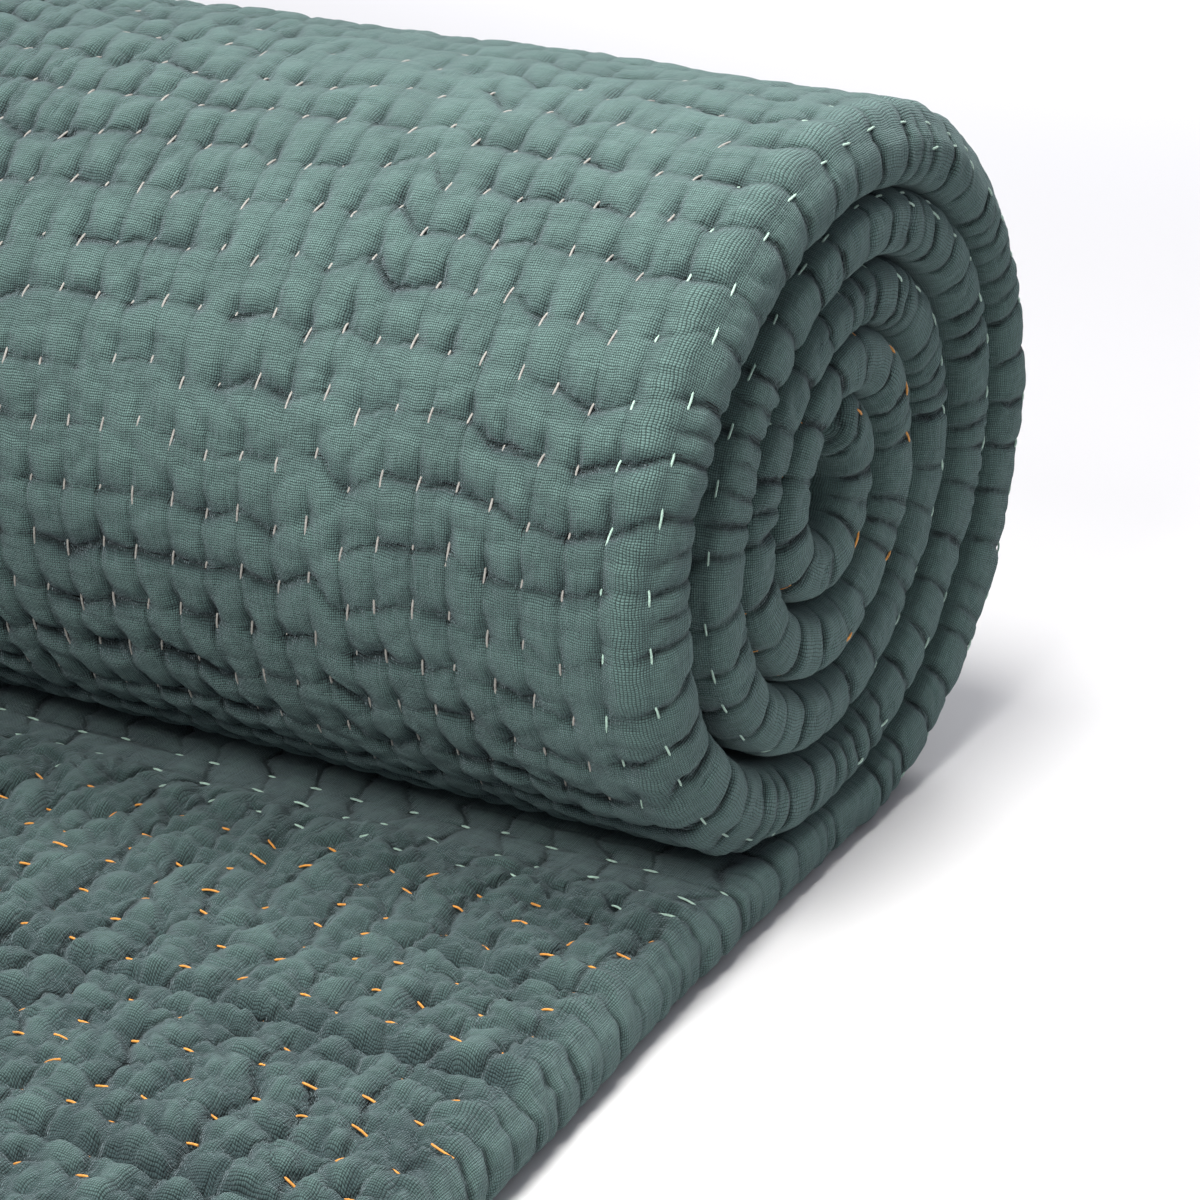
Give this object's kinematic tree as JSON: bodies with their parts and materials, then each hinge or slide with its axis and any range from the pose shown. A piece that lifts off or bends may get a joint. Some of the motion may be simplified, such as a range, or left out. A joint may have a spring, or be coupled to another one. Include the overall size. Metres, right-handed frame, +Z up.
{
  "type": "rolled kantha quilt",
  "caption": "Quilted muslin blanket folded in half and rolled up, its loose end lying flat in front of the roll.",
  "frame": {"origin": "middle of the footprint, on the surface that the quilt rests on", "axes": "+X along the roll towards the folded edge, +Y from the loose end towards the back of the roll, +Z up"},
  "size_m": [0.5, 0.3971, 0.1726],
  "materials": {
    "cloth": "matt puckered cotton muslin, teal green"
  },
  "bodies": {
    "root": {"quilt": "cloth"}
  },
  "joints": []
}
